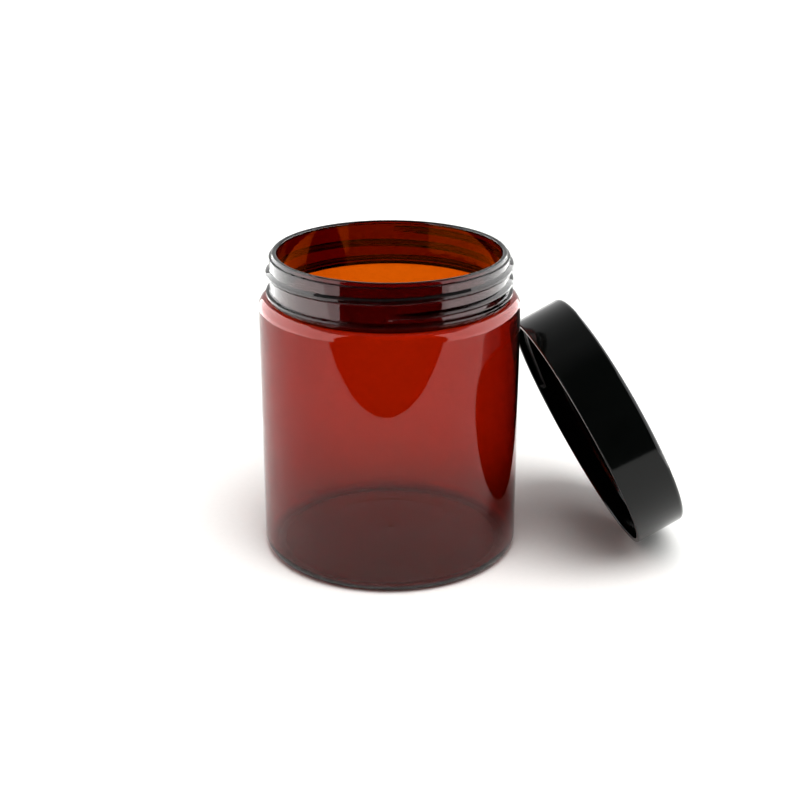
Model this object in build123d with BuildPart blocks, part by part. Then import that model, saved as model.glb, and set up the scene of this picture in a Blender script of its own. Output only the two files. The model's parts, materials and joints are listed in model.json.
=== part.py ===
"""Screw-top cosmetic cream jar, standing open with its lid leaning against its side.

Millimetres, +Z up. The origin is the middle of the jar's base, on the surface it stands on.
Pieces: the one-piece blow-moulded jar, the screw lid, and the liner disc inside the lid.
"""
from math import cos, radians, sin
import os

from build123d import *

# Jar body
body_diameter = 73.0
jar_height = 87.6
body_wall = 0.55
floor_wall = 1.0            # the base is left thicker than the side
heel_radius = 3.5
shoulder_radius = 2.8
standing_ring_width = 3.0   # flat ring that the jar stands on
base_step = 1.0             # rise from the standing ring to the edge of the raised middle
base_step_run = 8.0
base_fillet = 12.0          # eases the step into the ring and the raised middle
base_rise = 2.4             # how far the middle of the base is pushed up

# Neck, with a right-handed thread and a bead under it
thread_diameter = 68.6      # over the crests
thread_height = 1.0
thread_pitch = 25.4 / 6     # six turns to the inch
thread_turns = 1.5
thread_start_depth = 2.65   # lip down to the middle of the ridge's upper end
thread_start_bearing = 90.0  # degrees round from +X to the ridge's upper end
thread_foot = 2.1           # width of the ridge on the wall
thread_crest = 0.9          # width of its flat top
thread_bite = 0.4           # how far a ridge is sunk into its wall, to join it
neck_height = 12.6          # shoulder to lip
neck_wall = 2.2
lip_width = 1.5
lip_height = 1.0
lip_edge = 0.6
bead_height = 1.0
bead_foot = 1.4
bead_crest = 0.7
bead_above_shoulder = 1.25
small_edge = 0.2            # corner radius of the neck's small steps

# Lid and liner
lid_panel = 1.4
lid_wall = 1.4              # outside of the skirt to its thread root
lid_thread_turns = 1.25
lid_edge_radius = 1.3
rim_edge_radius = 0.35
liner_thickness = 1.2

# Clearances
crest_clearance = 0.5       # neck crest to lid thread root
root_clearance = 0.45       # lid crest to neck wall
shoulder_clearance = 0.4    # screwed-down lid to the shoulder
thread_end_clearance = 0.3  # screwed-down lid's thread to the bead
liner_edge_clearance = 0.25
liner_face_clearance = 0.1
lean_clearance = 0.3        # lid rim to the jar's side

# How the lid leans: its axis, and where round the rim, from the highest point, it meets the jar
lean_heading = 12.0         # degrees from +X towards +Y
lean_elevation = 26.5       # degrees above level
lean_touch = 10.5

# Sizes that follow from the ones above
body_radius = body_diameter / 2
cavity_radius = body_radius - body_wall
ring_outer = body_radius - heel_radius
ring_inner = ring_outer - standing_ring_width
crest_radius = thread_diameter / 2
neck_radius = crest_radius - thread_height
mouth_radius = neck_radius - neck_wall
shoulder_z = jar_height - neck_height
bead_z = shoulder_z + bead_above_shoulder
lid_root_radius = crest_radius + crest_clearance
lid_crest_radius = neck_radius + root_clearance
lid_radius = lid_root_radius + lid_wall
lid_depth = liner_face_clearance + liner_thickness + neck_height - shoulder_clearance
lid_height = lid_depth + lid_panel
liner_radius = lid_root_radius - liner_edge_clearance


def leaning_frame():
    """Plane of the lid's open rim, its centre as origin and +Z towards the closed top.

    The rim's lowest point is on z = 0. Seen from above the rim is an ellipse, whose half axes are
    the lid's radius across the lean and `narrow` along it. The jar's axis is on the normal to that
    ellipse through the touching point, a body radius and the clearance away.
    """
    heading = radians(lean_heading)
    elevation = radians(lean_elevation)
    touch = radians(lean_touch)
    away = Vector(cos(heading), sin(heading), 0)
    across = Vector(-sin(heading), cos(heading), 0)
    narrow = lid_radius * sin(elevation)
    touching = across * (lid_radius * sin(touch)) - away * (narrow * cos(touch))
    normal = (across * (sin(touch) / lid_radius) - away * (cos(touch) / narrow)).normalized()
    centre = (touching + normal * (body_radius + lean_clearance)) * -1
    centre += Vector(0, 0, lid_radius * cos(elevation))
    axis = away * cos(elevation) + Vector(0, 0, sin(elevation))
    return Plane(origin=centre, x_dir=across, z_dir=axis)


def half_section(frame, corners):
    """Half section beside a frame's axis, from corners of (radius, height, corner radius)."""
    points = [(radius, height) for radius, height, _ in corners]
    fillets = [fillet_radius for _, _, fillet_radius in corners[1:-1]]
    with BuildSketch(Plane(origin=frame.origin, x_dir=frame.x_dir, z_dir=-frame.y_dir)) as section:
        with BuildLine():
            FilletPolyline(*points, radius=fillets)
            Line(points[-1], points[0])
        make_face()
    return section.sketch


def ridge_path(frame, radius, turns, lower_end, bearing):
    """Right-handed helix that climbs a frame's axis from lower_end, starting at a bearing."""
    start = frame.rotated((0, 0, bearing)).offset(lower_end)
    return start.location * Helix(thread_pitch, turns * thread_pitch, radius)


def ridge_section(frame, path, height):
    """Thread section at the start of its path; a negative height makes an inner thread."""
    foot = path @ 0
    outward = frame.to_local_coords(foot)
    outward = frame.x_dir * outward.X + frame.y_dir * outward.Y
    with BuildSketch(Plane(origin=foot, x_dir=outward, z_dir=path % 0)) as section:
        side = 1 if height > 0 else -1
        slope = (thread_foot - thread_crest) / 2 / abs(height)
        root = thread_foot / 2 + slope * thread_bite
        with BuildLine():
            Polyline(
                (-side * thread_bite, -root),
                (height, -thread_crest / 2),
                (height, thread_crest / 2),
                (-side * thread_bite, root),
                close=True,
            )
        make_face()
    return section.sketch


def bead_corners():
    """Ring under the thread, from its lower foot to its upper one."""
    crest = neck_radius + bead_height
    return [
        (neck_radius, bead_z - bead_foot / 2, small_edge),
        (crest, bead_z - bead_crest / 2, small_edge),
        (crest, bead_z + bead_crest / 2, small_edge),
        (neck_radius, bead_z + bead_foot / 2, small_edge),
    ]


def jar_corners():
    """Jar from the middle of its underside, up the outside, over the lip and down the inside."""
    raised = ring_inner - base_step_run
    ledge_z = shoulder_z - body_wall
    lip_radius = mouth_radius + lip_width
    shoulder_fillet = min(shoulder_radius, body_radius - neck_radius - 2 * small_edge)
    inner_fillet = max(shoulder_fillet - body_wall, small_edge)
    outside = [
        (0, base_rise, 0),
        (raised, base_step, base_fillet),
        (ring_inner, 0, base_fillet),
        (body_radius, 0, heel_radius),
        (body_radius, shoulder_z, shoulder_fillet),
        (neck_radius, shoulder_z, small_edge),
        *bead_corners(),
        (neck_radius, jar_height - lip_height - small_edge, small_edge),
        (lip_radius, jar_height - lip_height, small_edge),
        (lip_radius, jar_height, lip_edge),
    ]
    inside = [
        (mouth_radius, jar_height, lip_edge),
        (mouth_radius, ledge_z, lip_edge),
        (cavity_radius, ledge_z, inner_fillet),
        (cavity_radius, floor_wall, heel_radius - body_wall),
        (ring_inner, floor_wall, base_fillet),
        (raised, base_step + floor_wall, base_fillet),
        (0, base_rise + floor_wall, 0),
    ]
    return outside + inside


def lid_corners():
    """Lid with its rim at zero and its top panel above, outside first."""
    return [
        (0, lid_height, 0),
        (lid_radius, lid_height, lid_edge_radius),
        (lid_radius, 0, rim_edge_radius),
        (lid_root_radius, 0, rim_edge_radius),
        (lid_root_radius, lid_depth, small_edge),
        (0, lid_depth, 0),
    ]


os.makedirs("parts", exist_ok=True)
jar_frame = Plane.XY
lid_frame = leaning_frame()

# The jar: body, shoulder and neck in one moulding, with its thread
neck_thread_foot = jar_height - thread_start_depth - thread_turns * thread_pitch
neck_thread_bearing = thread_start_bearing - 360 * thread_turns
neck_path = ridge_path(
    jar_frame, neck_radius, thread_turns, neck_thread_foot, neck_thread_bearing
)
neck_ridge = ridge_section(jar_frame, neck_path, thread_height)
jar_section = half_section(jar_frame, jar_corners())
with BuildPart() as jar:
    revolve(jar_section, axis=Axis(jar_frame.origin, jar_frame.z_dir))
    sweep(neck_ridge, path=neck_path, is_frenet=True)
jar.part.label = "jar"
export_step(jar.part, "parts/jar.step")

# The lid: flat top and smooth skirt, with the mating thread inside
lid_thread_height = lid_root_radius - lid_crest_radius
bead_top = bead_above_shoulder + bead_foot / 2 - shoulder_clearance
lid_thread_foot = bead_top + thread_end_clearance + thread_foot / 2
lid_path = ridge_path(lid_frame, lid_root_radius, lid_thread_turns, lid_thread_foot, 0)
lid_ridge = ridge_section(lid_frame, lid_path, -lid_thread_height)
lid_section = half_section(lid_frame, lid_corners())
with BuildPart() as lid:
    revolve(lid_section, axis=Axis(lid_frame.origin, lid_frame.z_dir))
    sweep(lid_ridge, path=lid_path, is_frenet=True)
lid.part.label = "lid"
export_step(lid.part, "parts/lid.step")

# The liner: foam disc against the lid's top, held in by the end of the thread
liner_plane = lid_frame.offset(lid_depth - liner_face_clearance - liner_thickness)
with BuildPart() as liner:
    with BuildSketch(liner_plane):
        Circle(liner_radius)
    extrude(amount=liner_thickness)
liner.part.label = "liner"
export_step(liner.part, "parts/liner.step")
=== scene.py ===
import json
import math

import bmesh
import bpy
from mathutils import Euler, Matrix, Vector


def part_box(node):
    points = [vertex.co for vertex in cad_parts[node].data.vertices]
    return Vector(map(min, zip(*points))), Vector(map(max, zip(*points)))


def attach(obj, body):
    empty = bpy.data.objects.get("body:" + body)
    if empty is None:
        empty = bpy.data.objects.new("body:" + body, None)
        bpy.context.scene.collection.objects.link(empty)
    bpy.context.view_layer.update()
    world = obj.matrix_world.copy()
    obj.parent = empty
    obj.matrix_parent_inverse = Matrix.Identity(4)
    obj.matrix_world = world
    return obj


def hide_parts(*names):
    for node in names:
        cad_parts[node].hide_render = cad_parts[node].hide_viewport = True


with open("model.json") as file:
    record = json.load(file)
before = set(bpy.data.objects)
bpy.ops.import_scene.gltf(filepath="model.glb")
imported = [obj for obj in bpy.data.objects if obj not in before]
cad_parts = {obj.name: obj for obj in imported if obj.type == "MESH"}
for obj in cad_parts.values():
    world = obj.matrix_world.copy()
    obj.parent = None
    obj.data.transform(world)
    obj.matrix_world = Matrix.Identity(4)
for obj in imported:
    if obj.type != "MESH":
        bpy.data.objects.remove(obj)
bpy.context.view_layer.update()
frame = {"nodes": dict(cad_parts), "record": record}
mounts = {mount["name"]: mount for mount in frame["record"]["mounts"]}
mm = 0.001
mergeWithin = 1e-4                   # of the units that meshes are drawn in, which are millimetres
holdEdge = 0.12
squareTurn = math.pi / 2
print("frame loaded:", sorted(frame["nodes"]))


def addOutline(bm, corners, closed=False, arcSteps=6):
    # a chain of edges in the XZ plane from corners of (x, z, rounding)
    verts = [bm.verts.new((x, 0, z)) for x, z, _ in corners]
    pairs = list(zip(verts, verts[1:]))
    if closed:
        pairs.append((verts[-1], verts[0]))
    for first, second in pairs:
        bm.edges.new((first, second))
    for vert, (_, _, rounding) in zip(verts, corners):
        if not rounding:
            continue
        ways = [(edge.other_vert(vert).co - vert.co) for edge in vert.link_edges]
        turn = math.pi - ways[0].angle(ways[1])
        steps = max(3, round(arcSteps * turn / squareTurn * min(2.5, max(1, rounding))))
        bmesh.ops.bevel(bm, geom=[vert], offset=rounding * math.tan(turn / 2), offset_type="OFFSET",
                        segments=steps, profile=0.5, affect="VERTICES", material=-1)


def holdCorners(bm, hold):
    # a short edge at each end of every long straight run, so that smooth shading stays flat along it
    for edge in [edge for edge in bm.edges if edge.calc_length() > 3 * hold]:
        near, far = edge.verts
        _, first = bmesh.utils.edge_split(edge, near, hold / edge.calc_length())
        rest = next(other for other in first.link_edges if other.other_vert(first) is far)
        bmesh.utils.edge_split(rest, far, hold / rest.calc_length())


def turnedMesh(corners, steps):
    # the outline turned once round Z, its two ends on the axis
    bm = bmesh.new()
    addOutline(bm, corners)
    holdCorners(bm, holdEdge)
    bmesh.ops.spin(bm, geom=bm.verts[:] + bm.edges[:], cent=(0, 0, 0), axis=(0, 0, 1), dvec=(0, 0, 0),
                   angle=2 * math.pi, steps=steps, use_merge=True)
    bmesh.ops.remove_doubles(bm, verts=bm.verts, dist=mergeWithin)
    bmesh.ops.recalc_face_normals(bm, faces=bm.faces)
    return bm


def threadRidge(thread, steps):
    # a ridge wound up its wall: its section turned and lifted, then thinned at both ends
    bm = bmesh.new()
    side = thread["side"]
    wall = thread["wall"]
    slope = (thread["foot"] - thread["crest"]) / 2 / thread["height"]
    root = thread["foot"] / 2 + slope * thread["bite"]
    crestX = wall + side * thread["height"]
    addOutline(bm, [
        (wall - side * thread["bite"], -root, 0),
        (crestX, -thread["crest"] / 2, thread["edge"]),
        (crestX, thread["crest"] / 2, thread["edge"]),
        (wall - side * thread["bite"], root, 0),
    ], closed=True, arcSteps=8)
    count = round(thread["turns"] * steps)
    bmesh.ops.contextual_create(bm, geom=bm.edges[:])
    bmesh.ops.spin(bm, geom=bm.faces[:], cent=(0, 0, 0), axis=(0, 0, 1), dvec=(0, 0, thread["pitch"] / steps),
                   angle=2 * math.pi * thread["turns"], steps=count, use_duplicate=False)
    for vert in bm.verts:
        across = math.hypot(vert.co.x, vert.co.y)
        around = math.atan2(vert.co.y, vert.co.x) / (2 * math.pi)
        turnsUp = around + round(vert.co.z / thread["pitch"] - around)
        fromEnd = min(turnsUp, thread["turns"] - turnsUp) / thread["fade"]
        fade = math.sin(min(max(fromEnd, 0), 1) * squareTurn)
        proud = (across - wall) * side
        if proud > 0:
            shrunk = wall + side * proud * (0.02 + 0.98 * fade)
            vert.co.x *= shrunk / across
            vert.co.y *= shrunk / across
    bmesh.ops.recalc_face_normals(bm, faces=bm.faces)
    bmesh.ops.rotate(bm, cent=(0, 0, 0), matrix=Matrix.Rotation(math.radians(thread["bearing"]), 3, "Z"),
                     verts=bm.verts)
    bmesh.ops.translate(bm, vec=(0, 0, thread["lowEnd"]), verts=bm.verts)
    return bm


def joinedMesh(name, bodyBm, addedBm):
    # one closed skin from two overlapping ones
    body = meshObject(name + ".body", bodyBm)
    added = meshObject(name + ".added", addedBm)
    union = body.modifiers.new("union", "BOOLEAN")
    union.operation = "UNION"
    union.solver = "EXACT"
    union.object = added
    shown = body.evaluated_get(bpy.context.evaluated_depsgraph_get())
    bm = bmesh.new()
    bm.from_mesh(shown.to_mesh())
    shown.to_mesh_clear()
    for used in (body, added):
        usedMesh = used.data
        bpy.data.objects.remove(used)
        bpy.data.meshes.remove(usedMesh)
    bmesh.ops.remove_doubles(bm, verts=bm.verts, dist=mergeWithin)
    bmesh.ops.dissolve_degenerate(bm, edges=bm.edges, dist=mergeWithin)
    bmesh.ops.recalc_face_normals(bm, faces=bm.faces)
    return bm


def meshObject(name, bm):
    mesh = bpy.data.meshes.new(name)
    bm.to_mesh(mesh)
    bm.free()
    made = bpy.data.objects.new(name, mesh)
    bpy.context.scene.collection.objects.link(made)
    return made


def finishedPiece(name, bm, material, place=None, sharpAngle=35):
    # shrink to metres, put in place, shade smooth with crisp corners
    bmesh.ops.transform(bm, matrix=Matrix.Scale(mm, 4), verts=bm.verts)
    if place is not None:
        bmesh.ops.transform(bm, matrix=place, verts=bm.verts)
    piece = meshObject(name, bm)
    piece.data.shade_smooth()
    piece.data.set_sharp_from_angle(angle=math.radians(sharpAngle))
    piece.data.materials.append(material)
    print(name, len(piece.data.polygons), "faces")
    return piece


def linearColour(hexValue):
    parts = [int(hexValue[i:i + 2], 16) / 255 for i in (0, 2, 4)]
    return [p / 12.92 if p <= 0.04045 else ((p + 0.055) / 1.055) ** 2.4 for p in parts] + [1]


def addNode(tree, kind, values=None, links=None, **settings):
    node = tree.nodes.new(kind)
    for name, value in settings.items():
        setattr(node, name, value)
    for name, value in (values or {}).items():
        node.inputs[name].default_value = value
    for name, source in (links or {}).items():
        tree.links.new(source, node.inputs[name])
    return node


def newMaterial(name):
    material = bpy.data.materials.new(name)
    material.use_nodes = True
    tree = material.node_tree
    tree.nodes.clear()
    return material, tree


amberPet = {
    "ior": 1.575,
    "absorbColour": (0.917, 0.685, 0.05),    # one minus this, times the density, is what is absorbed
    "absorbDensity": 12000,                  # per metre
    "mouldWaves": 9,                         # mm between the slow waves of a blown wall
    "waveDepth": 0.01,                       # mm
}


def makeAmberPet():
    # blow-moulded PET dyed in the melt: clear, red where two walls overlap, orange through one
    material, tree = newMaterial("amber_pet_blow_moulded")
    spot = addNode(tree, "ShaderNodeTexCoord")
    waves = addNode(tree, "ShaderNodeTexNoise", {"Scale": 1000 / amberPet["mouldWaves"], "Detail": 1.0},
                    {"Vector": spot.outputs["Object"]})
    dust = addNode(tree, "ShaderNodeTexNoise", {"Scale": 1000 / 0.6, "Detail": 3.0},
                   {"Vector": spot.outputs["Object"]})
    sheen = addNode(tree, "ShaderNodeMapRange",
                    {"From Min": 0.45, "From Max": 0.8, "To Min": 0.0, "To Max": 0.05},
                    {"Value": dust.outputs["Fac"]})
    skin = addNode(tree, "ShaderNodeBump", {"Strength": 0.3, "Distance": amberPet["waveDepth"] * mm},
                   {"Height": waves.outputs["Fac"]})
    shader = addNode(tree, "ShaderNodeBsdfPrincipled",
                     {"Base Color": (1, 1, 1, 1), "IOR": amberPet["ior"], "Transmission Weight": 1.0},
                     {"Roughness": sheen.outputs["Result"], "Normal": skin.outputs["Normal"]})
    dye = addNode(tree, "ShaderNodeVolumeAbsorption",
                  {"Color": (*amberPet["absorbColour"], 1), "Density": amberPet["absorbDensity"]})
    addNode(tree, "ShaderNodeOutputMaterial", None,
            {"Surface": shader.outputs["BSDF"], "Volume": dye.outputs["Volume"]})
    return material


def makeBlackPolypropylene():
    # injection-moulded polypropylene with black pigment: near-black, sharp reflections from a polished mould
    material, tree = newMaterial("black_polypropylene_moulded")
    spot = addNode(tree, "ShaderNodeTexCoord")
    flow = addNode(tree, "ShaderNodeTexNoise", {"Scale": 1000 / 6, "Detail": 2.0},
                   {"Vector": spot.outputs["Object"]})
    grit = addNode(tree, "ShaderNodeTexNoise", {"Scale": 1000 / 0.35, "Detail": 2.0},
                   {"Vector": spot.outputs["Object"]})
    gloss = addNode(tree, "ShaderNodeMapRange",
                    {"From Min": 0.3, "From Max": 0.7, "To Min": 0.07, "To Max": 0.12},
                    {"Value": grit.outputs["Fac"]})
    skin = addNode(tree, "ShaderNodeBump", {"Strength": 0.25, "Distance": 0.004 * mm},
                   {"Height": flow.outputs["Fac"]})
    pigment = addNode(tree, "ShaderNodeMix",
                      {"A": linearColour("050706"), "B": linearColour("0c0e0d")},
                      {"Factor": flow.outputs["Fac"]}, data_type="RGBA")
    shader = addNode(tree, "ShaderNodeBsdfPrincipled", {"IOR": 1.49},
                     {"Base Color": pigment.outputs["Result"], "Roughness": gloss.outputs["Result"],
                      "Normal": skin.outputs["Normal"]})
    addNode(tree, "ShaderNodeOutputMaterial", None, {"Surface": shader.outputs["BSDF"]})
    return material


def makeFoamedPolyethylene():
    # foamed polyethylene sheet dyed black: matt, with fine closed cells that glint a little
    material, tree = newMaterial("black_foamed_polyethylene")
    spot = addNode(tree, "ShaderNodeTexCoord")
    cells = addNode(tree, "ShaderNodeTexVoronoi", {"Scale": 1000 / 0.5}, {"Vector": spot.outputs["Object"]})
    tint = addNode(tree, "ShaderNodeMix", {"A": linearColour("1b1b1a"), "B": linearColour("0e0e0e")},
                   {"Factor": cells.outputs["Distance"]}, data_type="RGBA")
    skin = addNode(tree, "ShaderNodeBump", {"Strength": 0.5, "Distance": 0.06 * mm},
                   {"Height": cells.outputs["Distance"]})
    shader = addNode(tree, "ShaderNodeBsdfPrincipled", {"IOR": 1.5, "Roughness": 0.6},
                     {"Base Color": tint.outputs["Result"], "Normal": skin.outputs["Normal"]})
    addNode(tree, "ShaderNodeOutputMaterial", None, {"Surface": shader.outputs["BSDF"]})
    return material


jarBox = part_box("jar")
jar = {
    "radius": jarBox[1].x / mm,
    "height": jarBox[1].z / mm,
    "bodyWall": 0.55,
    "floorWall": 1.0,
    "heelRound": 3.5,
    "shoulderRound": 2.8,
    "standingRing": 3.0,
    "baseStep": 1.0,
    "baseStepRun": 8.0,
    "baseRound": 12.0,
    "baseRise": 2.4,
    "neckHeight": mounts["neck_thread"]["dims"]["length_mm"],
    "crestRadius": mounts["neck_thread"]["dims"]["r_mm"],
    "threadHeight": 1.0,
    "mouthRadius": mounts["mouth"]["dims"]["r_mm"],
    "lipWidth": 1.5,
    "lipHeight": 1.0,
    "lipEdge": 0.6,
    "beadAbove": 1.25,
    "beadHeight": 1.0,
    "beadFoot": 1.4,
    "beadCrest": 0.7,
    "smallEdge": 0.2,
    "steps": 256,
}


def jarCorners(s):
    ringOuter = s["radius"] - s["heelRound"]
    ringInner = ringOuter - s["standingRing"]
    raised = ringInner - s["baseStepRun"]
    neck = s["crestRadius"] - s["threadHeight"]
    shoulder = s["height"] - s["neckHeight"]
    ledge = shoulder - s["bodyWall"]
    bead = shoulder + s["beadAbove"]
    beadCrest = neck + s["beadHeight"]
    lipRadius = s["mouthRadius"] + s["lipWidth"]
    cavity = s["radius"] - s["bodyWall"]
    small = s["smallEdge"]
    outside = [
        (0, s["baseRise"], 0),
        (raised, s["baseStep"], s["baseRound"]),
        (ringInner, 0, s["baseRound"]),
        (s["radius"], 0, s["heelRound"]),
        (s["radius"], shoulder, s["shoulderRound"]),
        (neck, shoulder, small),
        (neck, bead - s["beadFoot"] / 2, small),
        (beadCrest, bead - s["beadCrest"] / 2, small),
        (beadCrest, bead + s["beadCrest"] / 2, small),
        (neck, bead + s["beadFoot"] / 2, small),
        (neck, s["height"] - s["lipHeight"] - small, small),
        (lipRadius, s["height"] - s["lipHeight"], small),
        (lipRadius, s["height"], s["lipEdge"]),
    ]
    inside = [
        (s["mouthRadius"], s["height"], s["lipEdge"]),
        (s["mouthRadius"], ledge, s["lipEdge"]),
        (cavity, ledge, s["shoulderRound"] - s["bodyWall"]),
        (cavity, s["floorWall"], s["heelRound"] - s["bodyWall"]),
        (ringInner, s["floorWall"], s["baseRound"]),
        (raised, s["baseStep"] + s["floorWall"], s["baseRound"]),
        (0, s["baseRise"] + s["floorWall"], 0),
    ]
    return outside + inside


neckThread = {
    "side": 1,                       # outwards
    "wall": jar["crestRadius"] - jar["threadHeight"],
    "height": jar["threadHeight"],
    "pitch": 25.4 / 6,
    "turns": 1.5,
    "foot": 2.1,
    "crest": 0.9,
    "edge": 0.25,
    "bite": 0.4,
    "fade": 0.05,                    # of a turn, at each end
    "bearing": 90 - 360 * 1.5,
}
neckThread["lowEnd"] = jar["height"] - 2.65 - neckThread["turns"] * neckThread["pitch"]


def makeJar():
    body = turnedMesh(jarCorners(jar), jar["steps"])
    ridge = threadRidge(neckThread, jar["steps"])
    piece = finishedPiece("jar_body", joinedMesh("jar", body, ridge), makeAmberPet())
    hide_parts("jar")
    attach(piece, "jar")


makeJar()
print("jar made")


lid = {
    "radius": 36.2,
    "rootRadius": 34.8,
    "crestRadius": mounts["lid_thread"]["dims"]["r_mm"],
    "depth": 13.5,
    "panel": 1.4,
    "edgeRound": 1.3,
    "rimRound": 0.35,
    "smallEdge": 0.2,
    "steps": 256,
}
liner = {"radius": 34.55, "thickness": 1.2, "gap": 0.1, "edgeRound": 0.15, "steps": 192}
lidThread = {
    "side": -1,                      # inwards
    "wall": lid["rootRadius"],
    "height": lid["rootRadius"] - lid["crestRadius"],
    "pitch": neckThread["pitch"],
    "turns": 1.25,
    "foot": 2.1,
    "crest": 0.9,
    "edge": 0.25,
    "bite": 0.4,
    "fade": 0.05,
    "bearing": 0,
    "lowEnd": 2.9,
}


def lidPlace():
    axis = -Vector(mounts["lid_thread"]["axis"]).normalized()
    across = Vector((0, 0, 1)).cross(axis).normalized()
    up = axis.cross(across)
    turned = Matrix((across, up, axis)).transposed().to_4x4()
    return Matrix.Translation(Vector(mounts["lid_thread"]["pos_m"])) @ turned


def makeLid():
    height = lid["depth"] + lid["panel"]
    body = turnedMesh([
        (0, height, 0),
        (lid["radius"], height, lid["edgeRound"]),
        (lid["radius"], 0, lid["rimRound"]),
        (lid["rootRadius"], 0, lid["rimRound"]),
        (lid["rootRadius"], lid["depth"], lid["smallEdge"]),
        (0, lid["depth"], 0),
    ], lid["steps"])
    ridge = threadRidge(lidThread, lid["steps"])
    piece = finishedPiece("screw_lid", joinedMesh("lid", body, ridge), makeBlackPolypropylene(), lidPlace())
    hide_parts("lid")
    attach(piece, "lid")


def makeLiner():
    top = lid["depth"] - liner["gap"]
    low = top - liner["thickness"]
    disc = turnedMesh([
        (0, low, 0),
        (liner["radius"], low, liner["edgeRound"]),
        (liner["radius"], top, liner["edgeRound"]),
        (0, top, 0),
    ], liner["steps"])
    piece = finishedPiece("lid_liner", disc, makeFoamedPolyethylene(), lidPlace())
    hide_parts("liner")
    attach(piece, "liner")


makeLid()
makeLiner()
print("lid and liner made")


tent = {
    "frontEdge": -0.167,             # where the paper ends, towards the camera
    "edgeSlope": -0.05,              # the edge isn't quite square to the view
    "floorReach": 6.0,
    "screenRadius": 0.250,           # two lit screens curve round the jar's axis, one on each side
    "screenHeight": 0.40,
    "leftArc": (226, 120),           # degrees from +X round to the front end and the back end
    "rightArc": (-43, 60),
    "screenPanels": 5,
    "leftRadiance": 2.6,
    "rightRadiance": 2.4,
    "overheadRadiance": 0.80,        # what a soft light above adds to the paper
    "overheadSpread": 50,            # degrees
    "overheadLean": (20, 12),        # degrees towards the camera and towards the right
    "skyRadiance": 1.15,             # what the camera sees beyond the paper, directly or through the jar
    "fillRadiance": 0.66,            # what lights the paper from all round
    "backRadiance": 1.0,
    "zenithRadiance": 0.3,
    "frontRadiance": 0.02,
}


def makeWhitePaper():
    # bright white card with faint fibres
    material, tree = newMaterial("white_paper")
    spot = addNode(tree, "ShaderNodeTexCoord")
    fibres = addNode(tree, "ShaderNodeTexNoise", {"Scale": 1000 / 1.5, "Detail": 2.0},
                     {"Vector": spot.outputs["Object"]})
    tint = addNode(tree, "ShaderNodeMix", {"A": linearColour("f8f8f6"), "B": linearColour("f4f4f2")},
                   {"Factor": fibres.outputs["Fac"]}, data_type="RGBA")
    shader = addNode(tree, "ShaderNodeBsdfPrincipled", {"Roughness": 0.9, "Specular IOR Level": 0.1},
                     {"Base Color": tint.outputs["Result"]})
    addNode(tree, "ShaderNodeOutputMaterial", None, {"Surface": shader.outputs["BSDF"]})
    return material


def makeFloor(name, corners, paper):
    bm = bmesh.new()
    bm.faces.new([bm.verts.new((x, y, 0)) for x, y in corners])
    bmesh.ops.recalc_face_normals(bm, faces=bm.faces)
    floor = meshObject(name, bm)
    floor.data.materials.append(paper)
    return floor


def makePanel(name, middle, facing, width, height, radiance):
    # a lit rectangle that shines along its own -Z
    light = bpy.data.lights.new(name, "AREA")
    light.shape = "RECTANGLE"
    light.size = width
    light.size_y = height
    light.energy = radiance * math.pi * width * height
    panel = bpy.data.objects.new(name, light)
    panel.location = middle
    panel.rotation_euler = facing
    bpy.context.scene.collection.objects.link(panel)
    return panel


def makeScreen(name, s, arc, radiance):
    # flat panels side by side round the jar, every one facing its axis
    first, last = (math.radians(end) for end in arc)
    step = (last - first) / s["screenPanels"]
    width = 2 * s["screenRadius"] * math.tan(abs(step) / 2)
    for index in range(s["screenPanels"]):
        bearing = first + (index + 0.5) * step
        middle = (s["screenRadius"] * math.cos(bearing), s["screenRadius"] * math.sin(bearing),
                  s["screenHeight"] / 2)
        facing = Euler((math.radians(90), 0, bearing + math.radians(90)))
        panel = makePanel(name, middle, facing, width, s["screenHeight"], radiance)
        panel.visible_diffuse = False


def makeTent(s):
    paper = makeWhitePaper()
    reach = s["floorReach"]
    edge = [(x, s["frontEdge"] + s["edgeSlope"] * x) for x in (-reach, reach)]
    makeFloor("paper", edge + [(reach, reach), (-reach, reach)], paper)
    front = makeFloor("paper_front", [(-reach, -reach), (reach, -reach)] + edge[::-1], paper)
    front.visible_glossy = False
    makeScreen("left_screen", s, s["leftArc"], s["leftRadiance"])
    makeScreen("right_screen", s, s["rightArc"], s["rightRadiance"])
    overhead = bpy.data.lights.new("overhead", "SUN")
    overhead.energy = s["overheadRadiance"] * math.pi
    overhead.angle = math.radians(s["overheadSpread"])
    overheadLight = bpy.data.objects.new("overhead", overhead)
    overheadLight.visible_glossy = False
    lean = [math.radians(angle) for angle in s["overheadLean"]]
    overheadLight.rotation_euler = Euler((lean[0], lean[1], 0))
    bpy.context.scene.collection.objects.link(overheadLight)


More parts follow.
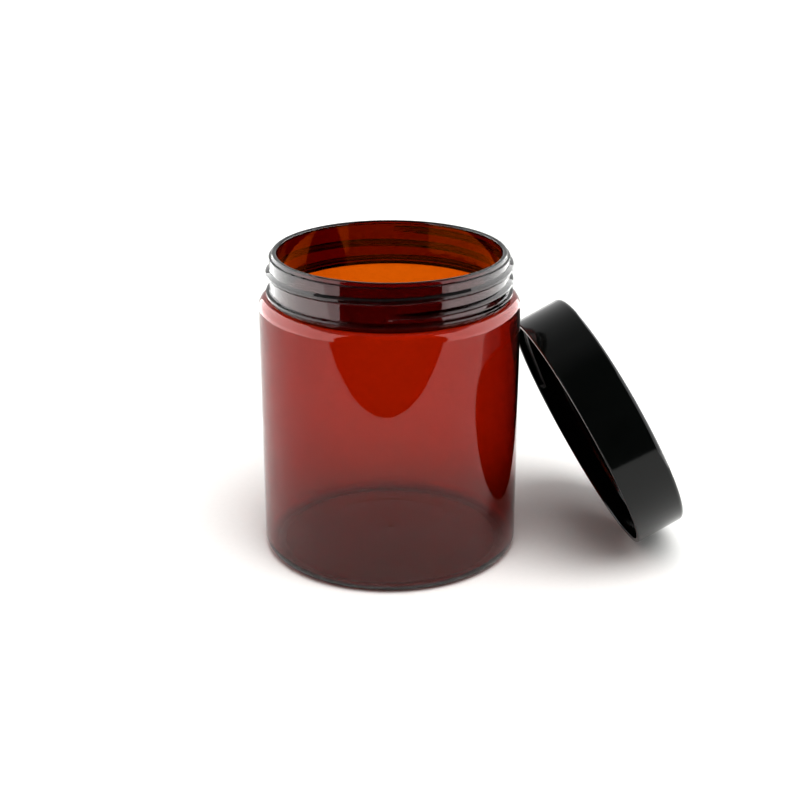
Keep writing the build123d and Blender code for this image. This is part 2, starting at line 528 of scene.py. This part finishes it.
def makeWorld(s):
    # white to the camera and through the jar, a dimmer fill on the paper; to a shiny piece,
    # bright low behind it and dark in front
    world = bpy.data.worlds.new("studio")
    bpy.context.scene.world = world
    world.use_nodes = True
    tree = world.node_tree
    tree.nodes.clear()
    spot = addNode(tree, "ShaderNodeTexCoord")
    split = addNode(tree, "ShaderNodeSeparateXYZ", None, {"Vector": spot.outputs["Generated"]})
    rise = addNode(tree, "ShaderNodeMapRange", {"From Min": 0.1, "From Max": 0.9,
                                                "To Min": s["backRadiance"], "To Max": s["zenithRadiance"]},
                   {"Value": split.outputs["Z"]})
    room = addNode(tree, "ShaderNodeMapRange", {"From Min": -0.3, "From Max": 0.1,
                                                "To Min": s["frontRadiance"]},
                   {"Value": split.outputs["Y"], "To Max": rise.outputs["Result"]})
    path = addNode(tree, "ShaderNodeLightPath")
    shiny = addNode(tree, "ShaderNodeMix", {"A": s["fillRadiance"]},
                    {"Factor": path.outputs["Is Glossy Ray"], "B": room.outputs["Result"]},
                    data_type="FLOAT")
    direct = addNode(tree, "ShaderNodeMath", None,
                     {0: path.outputs["Is Camera Ray"], 1: path.outputs["Is Transmission Ray"]},
                     operation="MAXIMUM")
    choose = addNode(tree, "ShaderNodeMix", {"B": s["skyRadiance"]},
                     {"Factor": direct.outputs["Value"], "A": shiny.outputs["Result"]},
                     data_type="FLOAT")
    glow = addNode(tree, "ShaderNodeBackground", {"Color": (1, 1, 1, 1)},
                   {"Strength": choose.outputs["Result"]})
    addNode(tree, "ShaderNodeOutputWorld", None, {"Surface": glow.outputs["Background"]})


def makeCamera():
    look = {"place": (0.0029, -0.4107, 0.2023), "tilt": 20.96, "lens": 69.3, "shiftY": -0.0078}
    lens = bpy.data.cameras.new("camera")
    lens.lens = look["lens"]
    lens.sensor_width = 36
    lens.shift_y = look["shiftY"]
    lens.clip_start = 0.01
    camera = bpy.data.objects.new("camera", lens)
    camera.location = look["place"]
    camera.rotation_euler = Euler((math.radians(90 - look["tilt"]), 0, 0))
    bpy.context.scene.collection.objects.link(camera)
    bpy.context.scene.camera = camera


makeTent(tent)
makeWorld(tent)
makeCamera()
bpy.context.scene.view_settings.view_transform = "Standard"
bpy.context.scene.view_settings.gamma = 0.8
print("studio made")
